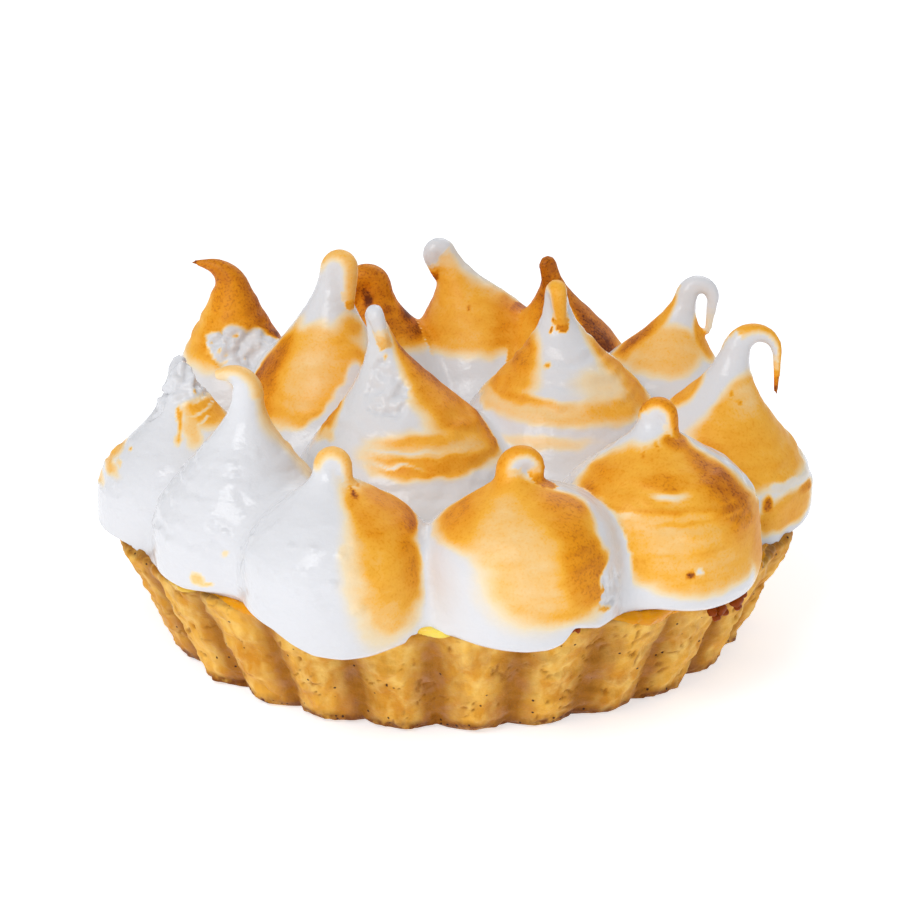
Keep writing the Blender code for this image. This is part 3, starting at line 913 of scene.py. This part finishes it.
# %% Rings, wrinkles and wet strokes
WRINKLE_LENGTH, WRINKLE_WIDTH, WRINKLE_HEIGHT = 4.5, 1.2, 0.1
WAVE_SIZE, WAVE_HEIGHT = 4.5, 0.16
RING_STEP, RING_HEIGHT, RING_WANDER, RING_TILT, RING_END = 3.1, 0.2, 1.3, 0.06, 0.05
RINGED = {
    "kiss_middle_front": (0.3, 0.62), "kiss_middle_right": (0.45, 0.85), "kiss_front_right": (0.45, 0.8),
    "kiss_left_front": (0.3, 0.75), "kiss_left_back": (0.6, 0.95), "kiss_right": (0.25, 0.5),
}
SLICK = ("kiss_left_front", "kiss_front_left", "kiss_left")
SLICK_LENGTH, SLICK_WIDTH, SLICK_HEIGHT = 2.2, 0.9, 0.32
SLICK_FROM, SLICK_TO, SLICK_SIDE = (0.2, 0.35), (0.65, 0.85), (-75, -60)
FOOT_CALM, VALLEY_CALM, TIP_EDGE, TIP_CALM = (0.02, 0.15), (0.3, 2.0), (0.95, 1.05), 0.7

stretch = np.array([1 / WRINKLE_LENGTH, 1 / WRINKLE_LENGTH, 1 / WRINKLE_WIDTH])
wrinkle = field(mm * stretch, 1.0, 3.0)
ringed = np.zeros(count)
for node, (low, high) in RINGED.items():
    begun = smooth(low - RING_END, low + RING_END, share)
    ringed += own_points(node) * begun * (1 - smooth(high - RING_END, high + RING_END, share))
ring_height = mm[:, 2] + RING_WANDER * slow + RING_TILT * mm[:, 0]
ring = ringed * np.sin(2 * math.pi * ring_height / RING_STEP) * (0.5 + 0.5 * slow_up)
dash = field(mm / np.array([SLICK_LENGTH, SLICK_LENGTH, SLICK_WIDTH]), 1.0, 91.0)
wet = sum(own_points(node) for node in SLICK) * smooth(*SLICK_FROM, share) * (1 - smooth(*SLICK_TO, share))
slick = wet * smooth(0.1, 0.5, dash) * smooth(-0.2, 0.2, slow_up) * (1 - smooth(*SLICK_SIDE, bearing))
height = WRINKLE_HEIGHT * wrinkle + WAVE_HEIGHT * field(mm, WAVE_SIZE, 71.0)
height += RING_HEIGHT * ring + SLICK_HEIGHT * slick
height *= smooth(*FOOT_CALM, share) * smooth(*VALLEY_CALM, moat) * (1 - TIP_CALM * smooth(*TIP_EDGE, share))
height += torn_relief
normals = np.empty(count * 3)
foam.data.vertices.foreach_get("normal", normals)
place = place + normals.reshape(-1, 3) * height[:, None] * MM
foam.data.vertices.foreach_set("co", place.ravel())
foam.data.update()
foam.data.shade_smooth()
print("relief in mm:", round(float(height.min()), 2), "to", round(float(height.max()), 2))

# %% [markdown]
# ## Where the flame went
# A torch browns foam by strokes: the side that faces it turns golden, edges and bumps turn brown, and the
# valleys stay white. Each kiss is painted in its own measure. A dab has a bearing round the kiss and a
# share of its height, so it stays in place if the kiss is moved. Its soft value is the part of its size
# over which it fades. Later dabs lie over earlier ones, and a dab of level 0 leaves white.

# %% A dab and a stroke of toast
@dataclass
class Dab:
    """An oval of one toast level: bearing and half width in degrees, middle and half height in shares."""

    bearing: float
    share: float
    wide: float
    tall: float
    level: float
    soft: float = 0.15


def stroke(start, end, wide, tall, level, soft=0.4, steps=6):
    """The sizes of dabs in a row from one (bearing, share) to another."""
    shares = [i / (steps - 1) for i in range(steps)]
    return [(*(a + (b - a) * t for a, b in zip(start, end)), wide, tall, level, soft) for t in shares]


print("dabs in a stroke:", len(stroke((0, 0.2), (0, 0.8), 5, 0.1, 0.5)))

# %% Dabs on the front row
DABS = {
    "kiss_front_left": (
        (150, 0.6, 48, 0.45, 0.0, 0.4), (-58, 0.5, 22, 0.36, 0.3, 0.5), (-50, 0.54, 19, 0.32, 0.5, 0.35),
        (-56, 0.26, 11, 0.1, 0.42, 0.35), (-12, 0.78, 44, 0.12, 0.66, 0.32), (-52, 0.8, 16, 0.1, 0.64, 0.5),
        (-38, 0.62, 12, 0.28, 0.58, 0.7), (-80, 0.67, 5, 0.03, 0.14, 0.5),
        *stroke((-47, 0.87), (-38, 0.9), 3, 0.012, 0.95),
    ),
    "kiss_front": (
        (-150, 0.86, 75, 0.2, 0.56, 0.2), (-75, 0.82, 58, 0.22, 0.52, 0.32),
        (-70, 0.5, 37, 0.27, 0.52, 0.22), (-100, 0.76, 24, 0.14, 0.34, 0.7),
        (-170, 0.78, 30, 0.06, 0.7, 0.6), (-84, 0.52, 24, 0.24, 0.34, 0.8), (-50, 0.6, 15, 0.32, 0.7, 0.5),
        (-30, 0.88, 16, 0.06, 0.74, 0.6), (-9, 0.65, 24, 0.2, 0.0, 0.16), (-17, 0.4, 26, 0.21, 0.0, 0.05),
        (-40, 0.37, 4, 0.035, 0.6, 0.2), (-36, 0.26, 7, 0.03, 0.55, 0.2), (-37, 0.42, 3, 0.02, 0.0, 0.2),
    ),
    "kiss_front_right": (
        (-62, 0.45, 52, 0.31, 0.46, 0.16), (-100, 0.76, 70, 0.14, 0.54, 0.25),
        (-150, 0.72, 18, 0.07, 0.66, 0.6), (-36, 0.7, 17, 0.26, 0.8, 0.7), (-40, 0.9, 34, 0.04, 0.76, 0.4),
        (-14, 0.35, 14, 0.24, 0.62, 0.4), (-85, 0.75, 22, 0.035, 0.64, 0.5),
        (-95, 0.5, 20, 0.12, 0.36, 0.8), (-85, 0.63, 36, 0.014, 0.6, 0.7), (-70, 0.57, 30, 0.01, 0.56, 0.7),
        (-60, 0.4, 26, 0.012, 0.54, 0.7), (-115, 0.98, 44, 0.1, 0.0, 0.3),
        # The pale oval at -83 degrees and share 0.695 is a painted highlight on the toasted front.
        (-83, 0.695, 11, 0.016, 0.05, 0.7), (-75, 0.28, 2.5, 0.022, 0.9, 0.3),
        (-70, 0.29, 2.5, 0.02, 0.0, 0.3), (-85, 0.88, 2.2, 0.018, 0.75, 0.4),
        (-108, 0.86, 2.2, 0.018, 0.7, 0.4),
    ),
}
print("dabs so far:", sum(len(dabs) for dabs in DABS.values()))

# %% Dabs on the left side
DABS |= {
    "kiss_left_front": (
        (5, 0.95, 46, 0.16, 0.5, 0.7), (12, 0.72, 24, 0.2, 0.3, 0.7), (-118, 0.15, 3, 0.035, 0.36, 0.4),
        (-113, 0.125, 6, 0.012, 0.36, 0.4), (-100, 0.31, 2.5, 0.015, 0.14, 0.4),
    ),
    "kiss_left": (
        (-38, 0.95, 48, 0.13, 0.56, 0.3), *stroke((-75, 0.9), (-15, 0.93), 6, 0.006, 0.1, 0.6),
        *stroke((-60, 0.96), (-5, 0.985), 6, 0.006, 0.15, 0.6),
        *stroke((-70, 0.85), (-50, 0.88), 4, 0.006, 0.1, 0.6),
        *stroke((-97, 0.93), (-92, 0.85), 3.2, 0.03, 0.62, 0.6), (-94, 0.79, 2.6, 0.04, 0.5, 0.6),
        (-78, 0.83, 9, 0.08, 0.36, 0.5), (-177, 0.6, 18, 0.06, 0.45, 0.4),
        (-168, 0.52, 22, 0.035, 0.4, 0.5), (-172, 0.41, 14, 0.03, 0.3, 0.5),
        (-147, 0.66, 3, 0.009, 0.7, 0.3), (-150, 0.57, 5, 0.01, 0.3, 0.3),
    ),
    "kiss_left_back": (
        (-90, 0.95, 140, 0.34, 0.64, 0.2), (-170, 0.84, 27, 0.16, 0.5, 0.5),
        (-10, 0.87, 46, 0.22, 0.8, 0.6), (0, 1.5, 400, 0.48, 0.76, 0.2), (-40, 0.6, 40, 0.12, 0.62, 0.5),
        (-124, 0.76, 5, 0.02, 0.5, 0.2), (-114, 0.72, 7, 0.015, 0.45, 0.2),
        (-120, 0.69, 6, 0.012, 0.5, 0.2), (-100, 0.745, 5, 0.01, 0.35, 0.3),
    ),
}
print("dabs so far:", sum(len(dabs) for dabs in DABS.values()))

# %% Dabs on the middle
DABS |= {
    "kiss_middle_left": (
        (-102, 0.56, 70, 0.21, 0.5, 0.16), (-155, 0.56, 22, 0.17, 0.8, 0.6),
        (-45, 0.75, 28, 0.05, 0.56, 0.7), (-105, 0.58, 24, 0.14, 0.36, 0.8),
        (-152, 0.42, 20, 0.1, 0.74, 0.7), *stroke((-100, 0.31), (-60, 0.58), 6.5, 0.045, 0.0, 0.5, 16),
    ),
    "kiss_middle_front": (
        (-12, 0.68, 48, 0.26, 0.64, 0.28), (-3, 0.8, 18, 0.15, 0.82, 0.6), (-68, 0.49, 42, 0.08, 0.34, 0.4),
        (-66, 0.545, 36, 0.02, 0.52, 0.6), (-60, 0.44, 42, 0.03, 0.6, 0.4),
        (-70, 0.475, 32, 0.008, 0.56, 0.6), (-88, 0.505, 22, 0.008, 0.04, 0.6),
        (-92, 0.455, 14, 0.006, 0.04, 0.6), (-186, 0.54, 28, 0.08, 0.68, 0.4),
        (-157, 0.5, 12, 0.02, 0.3, 0.5), *stroke((-88, 0.96), (-84, 0.86), 3, 0.02, 0.5, 0.5),
    ),
    "kiss_middle_right": (
        (-168, 0.69, 50, 0.14, 0.58, 0.3), (-168, 0.75, 34, 0.06, 0.7, 0.6),
        (-108, 0.56, 95, 0.036, 0.3, 0.45), (-138, 0.6, 46, 0.018, 0.6, 0.7),
        (-46, 0.56, 38, 0.05, 0.48, 0.6), (-12, 0.68, 24, 0.16, 0.62, 0.5),
        (-100, 0.45, 22, 0.025, 0.24, 0.6), (-50, 0.66, 24, 0.05, 0.2, 0.8),
        *stroke((-104, 0.93), (-110, 0.85), 1.6, 0.02, 0.92, 0.3), (-106, 0.74, 3, 0.01, 0.6, 0.6),
    ),
}
print("dabs so far:", sum(len(dabs) for dabs in DABS.values()))

# %% Dabs on the right side and the back
DABS |= {
    "kiss_right": (
        (-48, 0.62, 72, 0.27, 0.52, 0.16), (-175, 0.77, 27, 0.08, 0.58, 0.35),
        (10, 0.7, 16, 0.3, 0.46, 0.4), (-128, 0.87, 20, 0.2, 0.0, 0.25), (-90, 1.0, 92, 0.12, 0.0, 0.4),
        (-60, 0.78, 30, 0.08, 0.36, 0.7), (-44, 0.2, 28, 0.1, 0.54, 0.26), (-64, 0.28, 4, 0.04, 0.8, 0.4),
        (-22, 0.27, 10, 0.03, 0.7, 0.4), *stroke((-55, 0.35), (-15, 0.33), 6, 0.02, 0.05, 0.4),
        (-88, 0.8, 3, 0.012, 0.7, 0.4), (-76, 0.76, 3, 0.01, 0.7, 0.4),
    ),
    "kiss_right_back": (
        (-165, 0.84, 33, 0.18, 0.56, 0.32), (-165, 0.74, 26, 0.09, 0.82, 0.7),
        (-100, 0.73, 52, 0.12, 0.4, 0.25), (-18, 0.75, 34, 0.12, 0.62, 0.3), (-72, 0.96, 40, 0.1, 0.0, 0.5),
    ),
    "kiss_back_right": (
        (0, 0.95, 400, 0.5, 0.8, 0.26), (0, 1.5, 400, 0.48, 0.84, 0.2), (-35, 0.6, 15, 0.15, 0.92, 0.5),
        (-175, 0.5, 60, 0.24, 0.45, 0.6), (-62, 0.72, 10, 0.12, 0.5, 0.5),
    ),
    "kiss_back": (
        (-105, 0.72, 110, 0.24, 0.5, 0.2), (-188, 0.7, 26, 0.12, 0.7, 0.6), (-8, 0.94, 42, 0.14, 0.05, 0.6),
        (-81, 0.71, 3, 0.012, 0.8, 0.3), (-90, 0.97, 40, 0.06, 0.3, 0.6),
    ),
    "kiss_back_left": (
        (0, 0.98, 400, 0.34, 0.74, 0.22), (0, 1.5, 400, 0.48, 0.76, 0.2), (-112, 0.93, 16, 0.045, 1.0, 0.5),
        (-60, 0.87, 9, 0.035, 0.85, 0.8), (-10, 0.8, 18, 0.04, 0.95, 0.8), (-140, 1.0, 30, 0.04, 0.95, 0.6),
    ),
}
print("dabs so far:", sum(len(dabs) for dabs in DABS.values()))

# %% [markdown]
# The far side of the tart was torched too, by the same hand, so a rule browns what no dab reaches: more
# towards the peaks, less in the valleys, uneven by slow noise. On a tip, the side away from the fall took
# the flame and the inner side stayed white, and the thin end burns first. Each tip has two levels, for its
# outer side and for its end.

# %% Paint the toast
EDGE_WANDER = 4.0
EDGE_LIFT = 0.016
RAGGED = 0.1
FAR_SIDE = (28.0, 65.0)
FAR_RISE, FAR_RAGGED, FAR_TOP = (0.3, 0.6), 0.15, (0.95, 1.0)
TIP_START, TIP_OUTER, TIP_END = (0.97, 1.05), (-0.1, 0.7), (1.55, 1.95)
TIPS = {
    "kiss_front_left": (0.42, 0.8), "kiss_front": (0.62, 0.75), "kiss_front_right": (0.68, 0.5),
    "kiss_right": (0.55, 0.85), "kiss_right_back": (0.0, 0.1), "kiss_back_right": (0.9, 1.0),
    "kiss_back": (0.0, 0.85), "kiss_back_left": (0.9, 1.0), "kiss_left_back": (0.75, 1.0),
    "kiss_left": (0.0, 0.0), "kiss_left_front": (0.36, 0.2), "kiss_middle_front": (0.0, 0.4),
    "kiss_middle_right": (0.5, 0.75), "kiss_middle_left": (0.42, 0.85),
}


def painted(kiss, own):
    """Toast of one kiss's own points."""
    turn = bearing[own] + EDGE_WANDER * (slow[own] + RAGGED * quick[own])
    up = share[own] + EDGE_LIFT * (slow_up[own] + RAGGED * quick_up[own])
    far = smooth(*FAR_SIDE, turn) * (1 - smooth(180 - FAR_SIDE[1], 180 - FAR_SIDE[0], turn))
    far *= smooth(*FAR_RISE, up + FAR_RAGGED * slow[own]) * (1 - smooth(*FAR_TOP, share[own]))
    outer_level, end_level = TIPS[kiss.node]
    toast = kiss.toast * far + outer_level * smooth(*TIP_START, share[own]) * smooth(*TIP_OUTER, outer[own])
    toast = np.maximum(toast, end_level * smooth(*TIP_END, share[own]))
    for dab in (Dab(*sizes) for sizes in DABS[kiss.node]):
        cover = 1 - smooth(1 - dab.soft, 1 + dab.soft, measured(dab, turn, up))
        toast += (dab.level - toast) * cover
    return toast


toast = np.zeros(count)
for index, kiss in enumerate(KISSES):
    own = owner == index
    toast[own] = painted(kiss, own)
print("share painted:", round(float((toast > 0.3).mean()), 2))

# %% Brown the shoulders and keep the valleys white
VALLEY_WHITE, VALLEY_RAGGED = (0.9, 1.7), 0.3
SHOULDER, SHOULDER_BROWN = (1.5, 6.0), 0.45
STREAKS, RING_STREAKS = 0.2, 0.6
MOST_BROWN = 1.15
TORN_TOAST = 0.8

on_tip = share > 1
browner = SHOULDER_BROWN * (1 - smooth(*SHOULDER, moat)) + STREAKS * (wrinkle + RING_STREAKS * ring)
toast += np.where(on_tip, 0, browner * toast * (MOST_BROWN - toast))
valley = np.array([kiss.valley for kiss in KISSES])[owner]
white_room = moat / valley + 2 * (1 - valley) + VALLEY_RAGGED * quick
toast *= np.where(on_tip, 1, smooth(*VALLEY_WHITE, white_room))
toast = np.clip(toast * (1 - torn * smooth(-0.1, 0.3, TORN_TOAST - quick)), 0, 1)
point_values(foam, "toast", toast)
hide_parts(*[kiss.node for kiss in KISSES])
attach(foam, "root")
print("share of the foam that is toasted:", round(float((toast > 0.3).mean()), 2))

# %% [markdown]
# ## Torched meringue
# Meringue is whipped egg white and sugar. Its smooth white skin is glossy like satin and lets a little
# light in. The flame first dries it, which shows as cream and pale gold, and then burns the sugar to amber
# and dark brown. Toasted skin is drier and rougher, and freckled where tiny bubbles scorched first.

# %% Meringue material
STOPS = (
    (0.0, "e0e0e3"), (0.12, "f2dfbc"), (0.3, "f8d090"), (0.5, "f8b43a"), (0.68, "ea960a"), (0.84, "c06a00"),
    (1.0, "6a2e04"),
)
MOTTLE_SIZE, MOTTLE_AMOUNT = 1.8, 0.07
FRECKLE_SIZE, FRECKLE_AMOUNT = 0.42, 0.16
SKIN_SIZE, SKIN_FLAT, SKIN_DEPTH = 1.3, 1.6, 0.3

material, tree, shader = new_material("torched meringue", {
    "IOR": 1.38, "Specular IOR Level": 0.35,
    "Subsurface Weight": 0.12, "Subsurface Radius": (1.0, 0.9, 0.8), "Subsurface Scale": 0.6 * MM,
})
level = add(tree, "ShaderNodeAttribute", attribute_name="toast").outputs["Fac"]
mottle = clouds(tree, MOTTLE_SIZE, detail=4.0, low=0.25, high=0.75, least=-MOTTLE_AMOUNT, most=MOTTLE_AMOUNT)
freckles = clouds(tree, FRECKLE_SIZE, detail=1.0, low=0.5, high=0.75, most=FRECKLE_AMOUNT)
marks = add(tree, "ShaderNodeMath", {0: mottle, 1: freckles}, operation="ADD").outputs[0]
uneven = add(tree, "ShaderNodeMath", {0: marks, 1: level, 2: level}, operation="MULTIPLY_ADD").outputs[0]
ramp = add(tree, "ShaderNodeValToRGB", {"Fac": uneven})
ramp.color_ramp.elements.remove(ramp.color_ramp.elements[1])
for number, (toast_level, code) in enumerate(STOPS):
    element = ramp.color_ramp.elements.new(toast_level) if number else ramp.color_ramp.elements[0]
    element.position = toast_level
    element.color = linear(code)
tree.links.new(ramp.outputs["Color"], shader.inputs["Base Color"])
dry = add(tree, "ShaderNodeMapRange", {"Value": level, "From Max": 0.6, "To Min": 0.18, "To Max": 0.5})
tree.links.new(dry.outputs[0], shader.inputs["Roughness"])
skin_height = clouds(tree, SKIN_SIZE, SKIN_FLAT, low=0.0, high=1.0)
skin = add(tree, "ShaderNodeBump", {"Height": skin_height, "Strength": 0.35, "Distance": SKIN_DEPTH * MM})
tree.links.new(skin.outputs["Normal"], shader.inputs["Normal"])
foam.data.materials.append(material)
print("toast stops:", len(STOPS))

# %% [markdown]
# ## Drops of burnt sugar
# At the hem some syrup wept out of the foam and the flame turned it to caramel. It sits in small dark beads
# on the rim, as lumpy as crumbs, so they are real geometry. Each bead has a bearing, a height and a radius.

# %% Caramel beads
BEADS = (
    (-47.2, 18.0, 0.8), (-45.6, 17.8, 1.0), (-46.4, 16.8, 0.7), (-44.4, 17.0, 0.6), (-41.6, 18.0, 1.0),
    (-40.4, 18.9, 0.9), (-41.2, 16.9, 0.7), (-72.6, 21.0, 0.7), (-71.6, 20.6, 0.5), (-39.6, 19.8, 0.6),
)
BEAD_OUT = 0.8
BEAD_LUMPS, BEAD_LUMP_SIZE = 0.35, 1.1

beads = bmesh.new()
for bead_bearing, up, size in BEADS:
    around_axis = math.radians(bead_bearing)
    reach = RIM_RADIUS + BEAD_OUT
    middle = Vector((reach * math.cos(around_axis), reach * math.sin(around_axis), up))
    for point in bmesh.ops.create_icosphere(beads, subdivisions=3, radius=size)["verts"]:
        swell = 1 + BEAD_LUMPS * noise.noise(point.co * BEAD_LUMP_SIZE / size + middle)
        point.co = (middle + point.co * swell) * MM
bead_mesh = bpy.data.meshes.new("caramel_beads")
beads.to_mesh(bead_mesh)
bead_mesh.shade_smooth()
bead_piece = bpy.data.objects.new("caramel_beads", bead_mesh)
bpy.context.scene.collection.objects.link(bead_piece)
material, tree, shader = new_material("burnt caramel", {
    "Base Color": linear("8e3c02"), "Roughness": 0.4, "IOR": 1.5, "Specular IOR Level": 0.1,
})
bead_mesh.materials.append(material)
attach(bead_piece, "root")
print("caramel beads:", len(BEADS))
